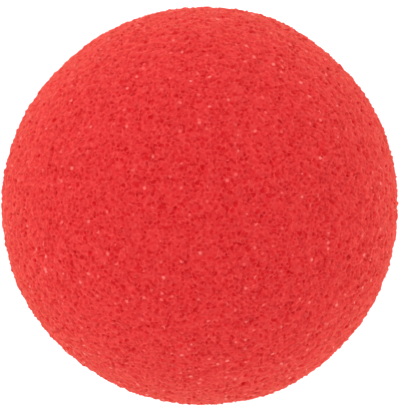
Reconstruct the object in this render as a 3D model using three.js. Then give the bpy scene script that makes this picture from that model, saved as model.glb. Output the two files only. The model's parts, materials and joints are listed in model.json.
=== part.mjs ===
// A foam clown nose: one ball of soft open-cell foam, trimmed flat round the hole in its back,
// with a blind pocket that takes the wearer's nose. Units are millimetres and +Z is up.
// It stands on the trimmed ring round the hole, so the crown, which faces away from the
// wearer's face, is up. The origin is the centre of that ring, on the surface it stands on.
import * as THREE from 'three';

// Driving dimensions
const ball_diameter = 50;
const pocket_diameter = 22;
const pocket_depth = 27;
const pocket_end_rise = 9; // height of the rounded end, where the plug of foam tore off
const lip_radius = 1; // the soft corner between the trimmed ring and the pocket wall
const seat_width = 1.6; // the trimmed ring that the ball stands on

// A ball ground from soft foam isn't quite round. Each row is a swell (positive) or a flat
// (negative) of its waist: its bearing from +X towards +Y, how far it stands out, and its reach.
const waist_swells = [
  { bearing: 70, out: 0.31, reach: 13 },
  { bearing: 110, out: -0.07, reach: 14 },
  { bearing: 134, out: -0.18, reach: 13 },
  { bearing: 176, out: 0.06, reach: 10 },
  { bearing: 203, out: 0.19, reach: 6 },
  { bearing: 237, out: -0.14, reach: 10 },
  { bearing: 293, out: 0.23, reach: 12 },
  { bearing: 356, out: -0.2, reach: 20 },
];

// Fineness of the facets
const segments_round = 72;
const ball_step = 4.5; // degrees of the ball's outline between two rows of points
const lip_steps = 4;
const wall_steps = 4;
const end_steps = 8;

// Sizes that follow from the driving ones
const ball_radius = ball_diameter / 2;
const pocket_radius = pocket_diameter / 2;
const seat_inner_radius = pocket_radius + lip_radius;
const seat_outer_radius = seat_inner_radius + seat_width;
const centre_height = Math.sqrt(ball_radius ** 2 - seat_outer_radius ** 2);
const wall_top = pocket_depth - pocket_end_rise;

const radians = THREE.MathUtils.degToRad;

// Points on a quarter or other stretch of an ellipse round (x, z), each end included.
function arc(x, z, half_width, half_height, from, to, steps) {
  return Array.from({ length: steps + 1 }, (_, i) => {
    const angle = radians(THREE.MathUtils.lerp(from, to, i / steps));
    return new THREE.Vector2(x + half_width * Math.cos(angle), z + half_height * Math.sin(angle));
  });
}

// The ball's outside, from the edge of the trimmed ring up to the crown.
function outsideProfile() {
  const lowest = THREE.MathUtils.radToDeg(Math.asin(-centre_height / ball_radius));
  const steps = Math.round((90 - lowest) / ball_step);
  return arc(0, centre_height, ball_radius, ball_radius, lowest, 90, steps);
}

// The pocket, from its deepest point down its wall and round the lip to the ring's inner edge.
function pocketProfile() {
  const end = arc(0, wall_top, pocket_radius, pocket_end_rise, 90, 0, end_steps);
  const lip = arc(seat_inner_radius, lip_radius, lip_radius, lip_radius, 180, 270, lip_steps);
  const wall = Array.from({ length: wall_steps - 1 }, (_, i) => {
    const height = THREE.MathUtils.lerp(wall_top, lip_radius, (i + 1) / wall_steps);
    return new THREE.Vector2(pocket_radius, height);
  });
  return [...end, ...wall, ...lip];
}

// How far the waist stands out at a bearing, in degrees.
function waistOut(bearing) {
  return waist_swells.reduce((sum, swell) => {
    const away = THREE.MathUtils.euclideanModulo(bearing - swell.bearing + 180, 360) - 180;
    return sum + swell.out * Math.exp(-((away / swell.reach) ** 2));
  }, 0);
}

// Moves the outside in or out, level by level: fully at the waist, and not at all at the crown.
function swellWaist(geometry, profile, outside_from) {
  const position = geometry.attributes.position;
  for (let i = 0; i < position.count; i += 1) {
    const level = i % profile.length;
    if (level >= outside_from && profile[level].x > 0) {
      const share = (profile[level].x / ball_radius) ** 2;
      const bearing = THREE.MathUtils.radToDeg(Math.atan2(position.getY(i), position.getX(i)));
      const stretch = 1 + (share * waistOut(bearing)) / profile[level].x;
      position.setXY(i, position.getX(i) * stretch, position.getY(i) * stretch);
    }
  }
  geometry.computeVertexNormals();
}

function foamBall() {
  const pocket = pocketProfile();
  const profile = [...pocket, ...outsideProfile()];
  profile[0].x = 0; // the pocket's deepest point lies on the axis
  profile[profile.length - 1].x = 0; // and so does the crown
  const geometry = new THREE.LatheGeometry(profile, segments_round);
  geometry.rotateX(Math.PI / 2); // the lathe turns round Y, and the part stands on Z
  swellWaist(geometry, profile, pocket.length);
  const foam = new THREE.MeshStandardMaterial({ color: 0xe13338, roughness: 0.92, metalness: 0 });
  const mesh = new THREE.Mesh(geometry, foam);
  mesh.name = 'foam_ball';
  return mesh;
}

const clown_nose = new THREE.Group();
clown_nose.add(foamBall());

export default clown_nose;
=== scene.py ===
# %% [markdown]
# # A foam clown nose
# The real thing is one ball of soft open-cell foam, dyed red right through. A hole cut in its
# back takes the wearer's nose, and the nose stands on the trimmed ring round that hole.
# All its character is in the foam: a skin of small cut-open cells, some deep and dark, some
# shallow, with thin bright walls between them. So nearly all of this lesson makes cells.

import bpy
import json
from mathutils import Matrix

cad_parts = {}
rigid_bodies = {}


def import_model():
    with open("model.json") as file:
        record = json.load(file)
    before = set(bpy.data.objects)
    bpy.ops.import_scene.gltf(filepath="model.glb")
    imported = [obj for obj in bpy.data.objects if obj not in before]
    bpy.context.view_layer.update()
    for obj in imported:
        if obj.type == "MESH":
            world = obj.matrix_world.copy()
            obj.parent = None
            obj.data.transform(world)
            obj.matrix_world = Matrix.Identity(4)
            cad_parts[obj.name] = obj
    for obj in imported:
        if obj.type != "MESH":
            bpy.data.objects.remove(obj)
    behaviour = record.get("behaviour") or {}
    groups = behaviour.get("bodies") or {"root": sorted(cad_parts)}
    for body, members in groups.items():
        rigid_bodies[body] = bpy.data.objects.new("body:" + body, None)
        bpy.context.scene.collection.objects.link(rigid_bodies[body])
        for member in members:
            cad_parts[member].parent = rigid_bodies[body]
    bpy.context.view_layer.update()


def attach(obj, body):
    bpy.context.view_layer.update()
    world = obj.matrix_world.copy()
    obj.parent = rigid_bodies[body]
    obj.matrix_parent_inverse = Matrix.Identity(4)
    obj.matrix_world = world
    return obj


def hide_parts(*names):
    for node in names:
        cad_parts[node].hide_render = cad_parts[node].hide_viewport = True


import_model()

import json
import math

import bpy
import numpy as np
from mathutils import Vector
from mathutils.geometry import delaunay_2d_cdt

# %% [markdown]
# ## Sizes
# The CAD solid already has the nose's true sizes, and this script repeats them in metres.
# The foam's own sizes come from the photograph: its cells are about two thirds of a
# millimetre apart, and the dark ones among them a millimetre or more.

# %% Sizes of the nose
MM = 0.001
ball_radius = 25 * MM
pocket_radius = 11 * MM
pocket_depth = 27 * MM
pocket_end_rise = 9 * MM
lip_radius = 1 * MM
ring_inner = pocket_radius + lip_radius
ring_outer = ring_inner + 1.6 * MM
centre_height = math.sqrt(ball_radius**2 - ring_outer**2)
wall_top = pocket_depth - pocket_end_rise

# Swells and flats of the waist: bearing and reach in degrees, and how far each stands out.
waist_swells = [
    (70, 0.31 * MM, 13),
    (110, -0.07 * MM, 14),
    (134, -0.18 * MM, 13),
    (176, 0.06 * MM, 10),
    (203, 0.19 * MM, 6),
    (237, -0.14 * MM, 10),
    (293, 0.23 * MM, 12),
    (356, -0.20 * MM, 20),
]
print(f"ball {2 * ball_radius / MM:.0f} mm, centre {centre_height / MM:.2f} mm up")

# %% [markdown]
# ## Camera
# The photograph looks straight at the crown, and the nose stands on its hole, so the camera
# looks straight down. It is far away with a long lens, as a product photographer works. The
# lens is chosen so that the ball's edge falls where it does in the photograph, and the camera
# stands a little aside, because the ball isn't quite in the middle of the picture.

# %% Camera
picture_pixels = 406  # the long side of the photograph
ball_pixels = 197.75  # the ball's radius in it
ball_right, ball_below = 0.6, 3.0  # pixels from the picture's middle to the ball's
camera_distance = 0.4  # metres above the ball's middle

camera_data = bpy.data.cameras.new("camera")
camera_data.sensor_width = 36
camera_data.lens = (
    camera_data.sensor_width
    * ball_pixels
    / picture_pixels
    * math.sqrt(camera_distance**2 - ball_radius**2)
    / ball_radius
)
camera = bpy.data.objects.new("camera", camera_data)
pixel = ball_radius / ball_pixels
camera.location = (-ball_right * pixel, ball_below * pixel, centre_height + camera_distance)
bpy.context.scene.collection.objects.link(camera)
bpy.context.scene.camera = camera
print(f"lens {camera_data.lens:.1f} mm, one pixel is {pixel / MM:.3f} mm")

# %% [markdown]
# ## Two helpers for node trees
# Geometry Nodes and materials are both trees of nodes. `put` adds any node: its settings
# first, then its sockets' values or links. It gives back a `Wire`, and an expression on
# wires, such as `1 - pit * 0.5`, adds the Math nodes that work it out.

# %% Node helpers
def maths(operation, reflected=False):
    """An operator that adds a Math node. Where it is reflected, the other value comes first."""

    def work(self, other):
        pair = (other, self) if reflected else (self, other)
        return self.tree.put("ShaderNodeMath", {"operation": operation}, dict(enumerate(pair)))

    return work


def socket_of(sockets, key):
    """The enabled socket with that name or number. Mix nodes hide the ones they don't use."""
    shown = [socket for socket in sockets if socket.enabled]
    return shown[key] if isinstance(key, int) else next(s for s in shown if s.name == key)


class Wire:
    """An output of a node. Sums on it add Math nodes."""

    __add__ = __radd__ = maths("ADD")
    __mul__ = __rmul__ = maths("MULTIPLY")
    __sub__, __rsub__ = maths("SUBTRACT"), maths("SUBTRACT", True)
    __pow__, __rpow__ = maths("POWER"), maths("POWER", True)
    __gt__, __lt__ = maths("GREATER_THAN"), maths("LESS_THAN")

    def __init__(self, tree, node, key=0):
        self.tree, self.node = tree, node
        self.socket = socket_of(node.outputs, key)

    def out(self, key):
        return Wire(self.tree, self.node, key)


class Tree:
    """A node tree to build in."""

    def __init__(self, tree):
        self.tree = tree

    def put(self, kind, settings=None, sockets=None):
        node = self.tree.nodes.new(kind)
        for name, value in (settings or {}).items():
            setattr(node, name, value)
        for key, value in (sockets or {}).items():
            socket = socket_of(node.inputs, key)
            if isinstance(value, Wire):
                self.tree.links.new(value.socket, socket)
            else:
                socket.default_value = value
        shown = [socket for socket in node.outputs if socket.enabled]
        return Wire(self, node) if shown else node


# %% Running a Geometry Nodes tree
def geometry_tree(name, sizes):
    """A tree for a modifier, with a named input for each size. Returns it and its inputs."""
    group = bpy.data.node_groups.new(name, "GeometryNodeTree")
    group.interface.new_socket("Geometry", in_out="INPUT", socket_type="NodeSocketGeometry")
    group.interface.new_socket("Geometry", in_out="OUTPUT", socket_type="NodeSocketGeometry")
    for title, value in sizes.items():
        kind = "NodeSocketInt" if isinstance(value, int) else "NodeSocketFloat"
        group.interface.new_socket(title, in_out="INPUT", socket_type=kind)
    tree = Tree(group)
    return tree, tree.put("NodeGroupInput")


def run_tree(tree, sizes, mesh, name):
    """The plain mesh that the tree makes of a mesh, with these sizes set on its modifier."""
    maker = bpy.data.objects.new(name, mesh)
    bpy.context.scene.collection.objects.link(maker)
    modifier = maker.modifiers.new(name, "NODES")
    modifier.node_group = tree.tree
    for item in tree.tree.interface.items_tree:
        if item.in_out == "INPUT" and item.name in sizes:
            modifier[item.identifier] = sizes[item.name]
    depsgraph = bpy.context.evaluated_depsgraph_get()
    made = bpy.data.meshes.new_from_object(maker.evaluated_get(depsgraph))
    maker.modifiers.remove(modifier)
    bpy.data.objects.remove(maker)
    return made


# %% [markdown]
# ## The smooth body
# Before it has any cells, the nose is a turned shape: one outline, from the crown over the
# outside, round the trimmed ring and the lip, and up the pocket to its end. Turning that
# outline in many fine steps gives a smooth body to lay the foam on.
#
# Each row of the body also gets a `spread`, for tying the cells together later. It is the
# logarithm of the radius that the row would have if the whole skin, pocket and all, were
# stretched out flat on a table, crown in the middle, every small patch keeping its shape.

# %% Outline of the nose
def arc(x, z, half_width, half_height, start, end, steps):
    """Points on a stretch of an ellipse round (x, z), without the last."""
    angles = np.radians(np.linspace(start, end, steps, endpoint=False))
    return np.c_[x + half_width * np.cos(angles), z + half_height * np.sin(angles)]


outside_rows, ring_rows, lip_rows, wall_rows, end_rows = 140, 4, 10, 24, 40
ring_angle = math.degrees(math.asin(-centre_height / ball_radius))
across_ring = np.linspace(ring_outer, ring_inner, ring_rows, endpoint=False)
up_wall = np.linspace(lip_radius, wall_top, wall_rows, endpoint=False)
outline = np.concatenate(
    [
        arc(0, centre_height, ball_radius, ball_radius, 89.5, ring_angle, outside_rows),
        np.c_[across_ring, np.zeros(ring_rows)],
        arc(ring_inner, lip_radius, lip_radius, lip_radius, 270, 180, lip_rows),
        np.c_[np.full(wall_rows, pocket_radius), up_wall],
        arc(0, wall_top, pocket_radius, pocket_end_rise, 0, 89, end_rows),
    ]
)
radius, height = outline.T

# From row to row the logarithm of the spread grows by the distance over the radius.
length = np.hypot(np.diff(radius), np.diff(height))
thinner = np.where(np.isclose(radius[1:], radius[:-1]), radius[1:] * (1 + 1e-6), radius[1:])
steps = length * np.log(thinner / radius[:-1]) / (thinner - radius[:-1])
spread = np.concatenate([[math.log(radius[0] / (2 * ball_radius))], np.zeros(len(steps))])
spread[1:] = spread[0] + np.cumsum(steps)
print(f"{len(outline)} rows, spread from {spread[0]:.2f} to {spread[-1]:.2f}")


# %% Turn the outline
def waist_out(bearings):
    """How far the waist stands out at each bearing, in degrees."""
    total = np.zeros_like(bearings)
    for bearing, out, reach in waist_swells:
        away = (bearings - bearing + 180) % 360 - 180
        total += out * np.exp(-((away / reach) ** 2))
    return total


segments_round = 288
bearings = np.arange(segments_round) * 360 / segments_round
row, column = np.meshgrid(np.arange(len(outline)), np.arange(segments_round), indexing="ij")
share = np.where(row < outside_rows, (radius[row] / ball_radius) ** 2, 0)
out = radius[row] + share * waist_out(bearings[column])
turn = np.radians(bearings[column])
places = np.stack([out * np.cos(turn), out * np.sin(turn), height[row]], axis=-1).reshape(-1, 3)

upper = (row[:-1] * segments_round + column[:-1]).ravel()
beside = (row[:-1] * segments_round + (column[:-1] + 1) % segments_round).ravel()
quads = np.c_[upper, upper + segments_round, beside + segments_round, beside]
crown, pocket_end = len(places), len(places) + 1
round_trip = np.arange(segments_round)
last = (len(outline) - 1) * segments_round
fans = [(crown, i, (i + 1) % segments_round) for i in round_trip]
fans += [(pocket_end, last + (i + 1) % segments_round, last + i) for i in round_trip]
ends = [(0, 0, centre_height + ball_radius), (0, 0, pocket_depth)]

smooth_body = bpy.data.meshes.new("smooth_body")
smooth_body.from_pydata(
    np.vstack([places, ends]).tolist(), [], [tuple(map(int, f)) for f in [*quads.tolist(), *fans]]
)
values = np.concatenate([spread[row.ravel()], [spread[0] - 1.0, spread[-1] + 1.0]])
smooth_body.attributes.new("spread", "FLOAT", "POINT").data.foreach_set("value", values)
print(f"smooth body: {len(smooth_body.polygons)} faces")

# %% [markdown]
# ## Where the cells are
# Foam cells crowd as soap bubbles do: no two centres are closer than a small cell's width,
# and no row or grid shows anywhere. Geometry Nodes scatters such points: Distribute Points on
# Faces in its Poisson Disk mode drops points at random and removes those too close together.
# `Kept` is the share of them that stays, and it wanders with a noise. Where a centre is
# missing, the cells around it grow into the gap, so no two cells are quite of one size.

# %% Scatter the cell centres
scatter_sizes = {"Closest": 0.437 * MM, "Crowd": 2.4e7, "Kept": 0.88, "Seed": 7}
scatter, given = geometry_tree("cell_centres", scatter_sizes)
slow_noise = {"Scale": 650.0, "Detail": 1.0}  # so many patches to the metre
patchy = scatter.put("ShaderNodeTexNoise", {}, slow_noise)
points = scatter.put(
    "GeometryNodeDistributePointsOnFaces",
    {"distribute_method": "POISSON", "use_legacy_normal": False},
    {
        "Mesh": given.out("Geometry"),
        "Distance Min": given.out("Closest"),
        "Density Max": given.out("Crowd"),
        "Density Factor": given.out("Kept") + (patchy - 0.5),
        "Seed": given.out("Seed"),
    },
)
vertices = scatter.put("GeometryNodePointsToVertices", {}, {"Points": points})
scatter.put("NodeGroupOutput", {}, {0: vertices})

centres = run_tree(scatter, scatter_sizes, smooth_body, "cell_centres")
centre_count = len(centres.vertices)
centre_places = np.empty(centre_count * 3)
centres.vertices.foreach_get("co", centre_places)
centre_places = centre_places.reshape(-1, 3)
centre_spread = np.empty(centre_count)
centres.attributes["spread"].data.foreach_get("value", centre_spread)
print(f"{centre_count} cells")

# %% [markdown]
# ## Tying neighbours together
# Which cells touch? Delaunay's triangulation ties each point to its nearest neighbours, but
# Blender's works on a flat sheet, and the nose is a ball with a pocket. That is what `spread`
# is for: it lays every centre on one flat disc, with the crown in the middle and the
# pocket's end outside. Small patches keep their shape there, so neighbours stay neighbours.
# The rim of the disc is then gathered to one last point, and the skin is closed.

# %% Triangulate the centres
turn = np.arctan2(centre_places[:, 1], centre_places[:, 0])
flat = np.exp(centre_spread)[:, None] * np.c_[np.cos(turn), np.sin(turn)]
whole_hull, merge_distance = 0, 0.0
tied = delaunay_2d_cdt([Vector(place) for place in flat], [], [], whole_hull, merge_distance)
original = [ids[0] for ids in tied[3]]  # which centre each point of the net was
triangles = [tuple(original[corner] for corner in face) for face in tied[2]]

directed = {(face[i], face[(i + 1) % 3]) for face in triangles for i in range(3)}
open_edges = [(a, b) for a, b in directed if (b, a) not in directed]
triangles += [(b, a, centre_count) for a, b in open_edges]
skin = bpy.data.meshes.new("cell_skin")
skin.from_pydata([*centre_places.tolist(), (0, 0, pocket_depth)], [], triangles)
print(f"{len(triangles)} triangles, the last {len(open_edges)} close the pocket's end")

# %% [markdown]
# ## The finish: dyed foam, with painted shade and light
# The dye goes right through the foam, so one red serves everywhere, but the colour here is not
# even, and much of what changes it is painted shade and painted light. Darker red is painted in
# the pores and deep cells, where shade falls and light bouncing from wall to wall loses all but
# its red, and paler red is painted on the thin webs between them, where light falls. `pit`, a
# value kept on the cells, tells how deep a point lies: 0 on top of the walls, and up to 1 at the
# bottom of the deepest cells. Noise breaks it up, because cells that are all alike look like soap
# bubbles and not like foam.
#
# - `patches` lets the red drift a little from one cell to the next.
# - Dark specks by noise, some smaller and some larger than a cell, are painted shade where the
#   foam opens further down.
# - The deepest places get a darker red still, painted shade so that single holes stand out.
# - The tops of the walls get a paler red here and there: painted light.
# - Bits of clear skin that a bubble leaves over a wall glint. They get a glossy coat, and a pale
#   red painted in, which is a painted glint.
#
# Subsurface scattering does the rest: light soaks a few tenths of a millimetre into the foam,
# red light furthest, so the little shadows are soft and red. Sheen stands for the fuzz of cut
# strands, which makes a foam ball paler towards its edge.

# %% Red foam
red_foam = bpy.data.materials.new("red_foam")
red_foam.use_nodes = True
red_foam.node_tree.nodes.clear()
foam = Tree(red_foam.node_tree)


def blend_of(amount, low, high):
    """A colour between two, by Mix."""
    return foam.put(
        "ShaderNodeMix",
        {"data_type": "RGBA", "clamp_factor": True},
        {"Factor": amount, "A": low, "B": high},
    )


def speckle(places, fine, detail):
    """Noise from 0 to 1, with that many patches to the metre."""
    return foam.put(
        "ShaderNodeTexNoise",
        {"noise_dimensions": "3D"},
        {"Vector": places, "Scale": fine, "Detail": detail},
    )


def rising(value, start, end):
    """0 up to the start, 1 from the end on, and even in between."""
    sockets = {"Value": value, "From Min": start, "From Max": end}
    return foam.put("ShaderNodeMapRange", {"clamp": True}, sockets)


# %% Reds, painted pore shade and painted web light
fineness = {"pore_shade": 1700, "patches": 1400, "web_light": 2200, "glint_cells": 900, "relief": 6000}
places = foam.put("ShaderNodeTexCoord").out("Object")
pit = foam.put("ShaderNodeAttribute", {"attribute_name": "pit"}).out("Fac")

# Six reds: the first is painted light on the wall tops, the next two are the foam's own paler and
# darker red, the next two are painted shade in pits and pores, and the last is a painted glint.
painted_web_light_red = (0.81, 0.071, 0.070, 1)
paler_red = (0.77, 0.050, 0.055, 1)
darker_red = (0.73, 0.021, 0.028, 1)
painted_hollow_shade_red = (0.67, 0.003, 0.010, 1)
painted_pore_shade_red = (0.64, 0.006, 0.013, 1)
painted_glint_red = (1.00, 0.20, 0.18, 1)
# Painted shade: dark specks by noise where the foam opens further down. They also dent the relief.
pore_shade = rising(speckle(places, fineness["pore_shade"], 1), 0.49, 0.70) * rising(pit, -0.6, 0)
patches = speckle(places, fineness["patches"], 1) - 0.5
# Depth and random patches together: painted shade lower in the cells, and random tone of the red.
depth_shade_and_tone = pit * 0.4 + patches * 0.9
colour = blend_of(depth_shade_and_tone * 1.6 + 0.5, paler_red, darker_red)
colour = blend_of(pore_shade, colour, painted_pore_shade_red)
# Painted shade: the deepest places get a darker red still, so that single holes stand out.
hollow_shade = rising(depth_shade_and_tone, 0.24, 0.60)
colour = blend_of(hollow_shade, colour, painted_hollow_shade_red)
# Painted light: the tops of the walls get a paler red, broken up by noise.
web_light = rising(pit, 0.24, 0.02) * rising(speckle(places, fineness["web_light"], 2), 0.42, 0.72)
colour = blend_of(web_light, colour, painted_web_light_red)
print(f"reds: {len(red_foam.node_tree.nodes)} nodes so far")

# %% Glints, painted and glossy, relief and shader
# Spots of clear skin: a pale red painted in as a painted glint, and a glossy coat with lower
# roughness.
glint_cells = foam.put(
    "ShaderNodeTexVoronoi", {"feature": "F1"}, {"Vector": places, "Scale": fineness["glint_cells"]}
)
luck = foam.put("ShaderNodeSeparateColor", {}, {"Color": glint_cells.out("Color")})
gloss_and_painted_glint = rising(glint_cells.out("Distance"), 0.27, 0.10) * rising(luck.out("Red"), 0.55, 1.05)
colour = blend_of(gloss_and_painted_glint, colour, painted_glint_red)

relief = speckle(places, fineness["relief"], 2) * 0.4 - pore_shade * 0.5
bump = foam.put("ShaderNodeBump", {}, {"Strength": 0.5, "Distance": 0.12 * MM, "Height": relief})
shader = foam.put(
    "ShaderNodeBsdfPrincipled",
    {},
    {
        "Base Color": colour,
        "Roughness": 0.9 - gloss_and_painted_glint * 0.4,
        "Coat Weight": gloss_and_painted_glint * 0.5,
        "Coat Roughness": 0.2,
        "Normal": bump,
        "Specular IOR Level": 0.1,
        "Subsurface Weight": 0.6,
        "Subsurface Radius": (1.0, 0.25, 0.2),
        "Subsurface Scale": 0.3 * MM,
        "Sheen Weight": 0.15,
        "Sheen Roughness": 0.5,
        "Sheen Tint": (0.40, 0.67, 0.25, 1),
    },
)
foam.put("ShaderNodeOutputMaterial", {}, {"Surface": shader})
print(f"red foam: {len(red_foam.node_tree.nodes)} nodes")

# %% [markdown]
# ## The cells
# Dual Mesh turns the net of triangles inside out: every centre becomes a cell with five to
# seven sides, and walls run where two cells meet. The junctions of the walls are then moved
# by chance: some sink a little and others stick out, for the fuzz of cut strands on the
# outline, and each takes a small step aside, which makes the cells less regular.
#
# Then each cell is sunk. Most are cut through the top of a bubble, so they are drawn down to
# a point. Some are cut lower and end in a small floor, and a few of those keep thick walls,
# which takes an extrusion of its own. How deep a cell goes is up to chance and to a slow
# noise, so that whole patches are deeper than others.
#
# The nose stands on its ring, so all that would reach through the table is pressed flat
# against it. Shading is smooth, because the walls of real cells are round and not folded.

# %% Helpers for the cell tree
cell_sizes = {
    "Strand Rise": 0.28 * MM,
    "Deep Share": 0.12,
    "Thick Share": 0.02,
    "Rim": 0.84,
    "Deep": 0.15 * MM,
    "Shallow": 0.15 * MM,
    "Floor": 0.40,
    "Lean": 0.10 * MM,
    "Crooked": 0.06 * MM,
    "Seed": 11,
}
cells, given = geometry_tree("foam_cells", cell_sizes)


def chance(low, high, turn):
    """A random number or vector for each element. Each use has its own turn of the seed."""
    kind = "FLOAT_VECTOR" if isinstance(low, tuple) else "FLOAT"
    seed = given.out("Seed") + turn
    return cells.put(
        "FunctionNodeRandomValue", {"data_type": kind}, {"Min": low, "Max": high, "Seed": seed}
    )


def keep(geometry, name, value, domain="FACE", selection=True):
    """Stores a value on the geometry under a name."""
    kind = "FLOAT_VECTOR" if value.socket.type == "VECTOR" else "FLOAT"
    sockets = {"Geometry": geometry, "Selection": selection, "Name": name, "Value": value}
    return cells.put(
        "GeometryNodeStoreNamedAttribute", {"data_type": kind, "domain": domain}, sockets
    )


def kept(name, kind="FLOAT"):
    return cells.put("GeometryNodeInputNamedAttribute", {"data_type": kind}, {"Name": name})


def scaled(vector, amount):
    return cells.put(
        "ShaderNodeVectorMath", {"operation": "SCALE"}, {"Vector": vector, "Scale": amount}
    )


def moved(geometry, offset, selection=True):
    sockets = {"Geometry": geometry, "Selection": selection, "Offset": offset}
    return cells.put("GeometryNodeSetPosition", {}, sockets)


def sunk(mesh, selection, depth, share):
    """Extrudes each selected face by itself, down by depth, and scales its end."""
    sockets = {"Mesh": mesh, "Selection": selection, "Offset Scale": depth * -1, "Individual": True}
    extruded = cells.put("GeometryNodeExtrudeMesh", {"mode": "FACES"}, sockets)
    ends = extruded.out("Top")
    sockets = {"Geometry": extruded, "Selection": ends, "Scale": share}
    return cells.put("GeometryNodeScaleElements", {"domain": "FACE"}, sockets), ends


# %% Cell walls, and what each cell gets by chance
any_way = ((-1.0, -1.0, -1.0), (1.0, 1.0, 1.0))  # the least and the most of a vector
body = cells.put("GeometryNodeDualMesh", {}, {"Mesh": given.out("Geometry")})

# The square makes long strands rare. Less 0.18, four in ten junctions sink a little.
rise = (chance(0.0, 1.0, 0) ** 2 - 0.18) * given.out("Strand Rise")
body = moved(body, scaled(cells.put("GeometryNodeInputNormal"), rise))
body = moved(body, scaled(chance(*any_way, 5), given.out("Crooked")))
body = keep(body, "kind", chance(0.0, 1.0, 1))
slow_noise = {"Scale": 900.0, "Detail": 1.0}  # so many patches to the metre
clumps = cells.put("ShaderNodeTexNoise", {}, slow_noise)
body = keep(body, "vary", chance(0.0, 1.0, 2) * 0.8 + (clumps - 0.45) * 1.2)
body = keep(body, "lean", chance(*any_way, 3))
print(f"cell walls: {len(cells.tree.nodes)} nodes so far")

# %% Sinking and pressing flat
kind, vary = kept("kind"), kept("vary")
deep = kind > 1 - given.out("Deep Share")
thick = kind > 1 - given.out("Thick Share")
body, rims = sunk(body, thick, vary * 0, given.out("Rim"))
depth = deep * given.out("Deep") * (vary * 0.9 + 0.45)
depth = depth + (1 - deep) * given.out("Shallow") * (vary + 0.4)
body, ends = sunk(body, rims + (1 - thick), depth, deep * given.out("Floor"))
body = moved(body, scaled(kept("lean", "FLOAT_VECTOR"), given.out("Lean")), ends)
body = keep(body, "pit", deep * 0.2 + vary * 0.7 + 0.2, "POINT", ends)
place = cells.put("GeometryNodeInputPosition")
apart = cells.put("ShaderNodeSeparateXYZ", {}, {"Vector": place})
above = cells.put("ShaderNodeMath", {"operation": "MAXIMUM"}, {0: apart.out("Z"), 1: 0.0})
pressed = {"X": apart.out("X"), "Y": apart.out("Y"), "Z": above}
pressed = cells.put("ShaderNodeCombineXYZ", {}, pressed)
body = cells.put("GeometryNodeSetPosition", {}, {"Geometry": body, "Position": pressed})
same_place = 0.001 * MM  # points closer than this are made one
body = cells.put("GeometryNodeMergeByDistance", {}, {"Geometry": body, "Distance": same_place})
body = cells.put("GeometryNodeTriangulate", {}, {"Mesh": body})
body = cells.put("GeometryNodeSetShadeSmooth", {}, {"Geometry": body})
body = cells.put("GeometryNodeRealizeInstances", {}, {"Geometry": body})
body = cells.put("GeometryNodeSetMaterial", {}, {"Geometry": body, "Material": red_foam})
cells.put("NodeGroupOutput", {}, {0: body})
print(f"cell tree: {len(cells.tree.nodes)} nodes")

# %% Make the foam
foam_mesh = run_tree(cells, cell_sizes, skin, "foam_cells")
foam_mesh.name = "red_foam_ball"
foam_ball = bpy.data.objects.new("red_foam_ball", foam_mesh)
bpy.context.scene.collection.objects.link(foam_ball)

corners = np.empty(len(foam_mesh.loops), dtype=int)
foam_mesh.loops.foreach_get("vertex_index", corners)
faces = corners.reshape(-1, 3)
edges = np.sort(np.vstack([faces[:, [0, 1]], faces[:, [1, 2]], faces[:, [2, 0]]]), axis=1)
uses = np.unique(edges, axis=0, return_counts=True)[1]
once, often = (uses == 1).sum(), (uses > 2).sum()
print(f"{len(faces)} triangles, edges used once: {once}, over twice: {often}")

# %% [markdown]
# ## A map for the export
# The nose's colour is worked out by nodes, and a game or a simulator wants it as a picture.
# That takes a UV map, which lays the whole skin flat once. A ball cut at its waist gives two
# discs, each seen from its pole and drawn so that equal areas stay equal. The pocket is a
# third disc, from the middle of its end outwards to the lip. Three large pieces lose far
# less of the picture to gaps than the thousands that an automatic map would cut.

# %% Lay the skin flat
map_width = 125 * MM  # of foam, across the whole map
pocket_scale = 0.75  # the pocket is out of sight, so it gets less of the picture
lining_top = pocket_depth + 3 * MM  # no cell of the pocket reaches above this
spots = np.empty(len(foam_mesh.vertices) * 3)
foam_mesh.vertices.foreach_get("co", spots)
spots = spots.reshape(-1, 3)
from_axis, turned = np.hypot(spots[:, 0], spots[:, 1]), np.arctan2(spots[:, 1], spots[:, 0])
from_crown = np.arctan2(from_axis, spots[:, 2] - centre_height)
past_wall = np.maximum(spots[:, 2] - wall_top, 0) / pocket_end_rise
round_end = np.arctan2(from_axis / pocket_radius, past_wall) * (pocket_radius + pocket_end_rise) / 2
down_wall = np.maximum(wall_top - spots[:, 2], 0)
discs = [  # how far out each point lies, and the disc's middle on the map
    (2 * ball_radius * np.sin(from_crown / 2), 0.292, 0.292),
    (2 * ball_radius * np.cos(from_crown / 2), 0.708, 0.708),
    ((round_end + down_wall) * pocket_scale, 0.79, 0.21),
]

middles = spots[faces].mean(axis=1)
beside_axis = np.hypot(middles[:, 0], middles[:, 1])
in_pocket = (middles[:, 2] > lip_radius) & (middles[:, 2] < lining_top)
in_pocket &= beside_axis < ring_inner
disc_of_face = np.where(in_pocket, 2, np.where(middles[:, 2] > centre_height, 0, 1))
flat_places = np.empty((len(faces), 3, 2))
for number, (out, u, v) in enumerate(discs):
    out = out / map_width
    on_disc = np.c_[u + out * np.cos(turned), v + out * np.sin(turned)]
    mine = disc_of_face == number
    flat_places[mine] = on_disc[faces[mine]]
    print(f"disc {number}: {mine.sum()} triangles, {out[np.unique(faces[mine])].max():.3f} out")
foam_map = foam_mesh.uv_layers.new(name="OFBake")
foam_map.uv.foreach_set("vector", flat_places.ravel())

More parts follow.
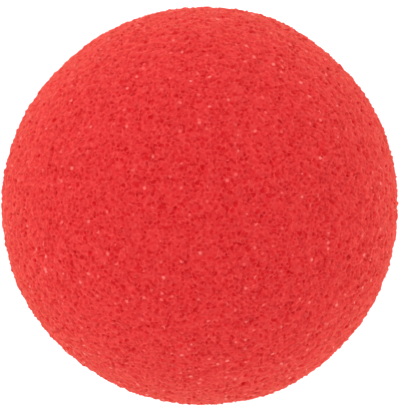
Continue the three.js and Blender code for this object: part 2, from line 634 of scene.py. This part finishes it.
# %% [markdown]
# ## Tied to the CAD
# The foam takes the place of the plain CAD ball and goes wherever the nose's frame goes. The
# ball is cut from one block and soft all through, so it counts as padding without any cloth.

# %% Tie it to the frame
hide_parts("foam_ball")
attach(foam_ball, "root")
print(f"{foam_ball.name} stands for the CAD ball")

# %% [markdown]
# ## Floor and light
# The photograph is a cut-out on pure white, lit softly from all round and a little more from
# the upper left. A white sky gives the soft light, a round lamp up on the left the rest and
# the glints. The floor is a light table, as product photographers use: it glows a little,
# so that it stays white right up to the ball's edge.

# %% Floor
white_table = bpy.data.materials.new("white_table")
white_table.use_nodes = True
plain = white_table.node_tree.nodes["Principled BSDF"]
plain.inputs["Base Color"].default_value = (0.9, 0.9, 0.9, 1)
plain.inputs["Roughness"].default_value = 0.9
plain.inputs["Emission Color"].default_value = (1, 1, 1, 1)
plain.inputs["Emission Strength"].default_value = 0.5
floor_mesh = bpy.data.meshes.new("floor")
side = 3  # metres from the middle of the floor to each side
floor_corners = [(-side, -side, 0), (side, -side, 0), (side, side, 0), (-side, side, 0)]
floor_mesh.from_pydata(floor_corners, [], [(0, 1, 2, 3)])
floor_mesh.materials.append(white_table)
floor = bpy.data.objects.new("floor", floor_mesh)
bpy.context.scene.collection.objects.link(floor)
print(f"floor {2 * side} m across")

# %% Sky and lamp
sky = bpy.data.worlds.new("sky")
sky.use_nodes = True
sky.node_tree.nodes["Background"].inputs["Color"].default_value = (1, 1, 1, 1)
sky.node_tree.nodes["Background"].inputs["Strength"].default_value = 1.03
bpy.context.scene.world = sky
bpy.context.scene.view_settings.view_transform = "Standard"  # so that white stays white

lamp_data = bpy.data.lights.new("softbox", "AREA")
lamp_data.shape = "DISK"
lamp_data.size = 0.12
lamp_data.energy = 0.42
lamp = bpy.data.objects.new("softbox", lamp_data)
lamp.location = (-0.38, 0.24, 0.48)
aim = Vector((0, 0, centre_height)) - lamp.location
lamp.rotation_mode = "QUATERNION"
lamp.rotation_quaternion = aim.to_track_quat("-Z", "Y")
lamp.visible_camera = False
bpy.context.scene.collection.objects.link(lamp)
print(f"lamp {aim.length:.2f} m away")
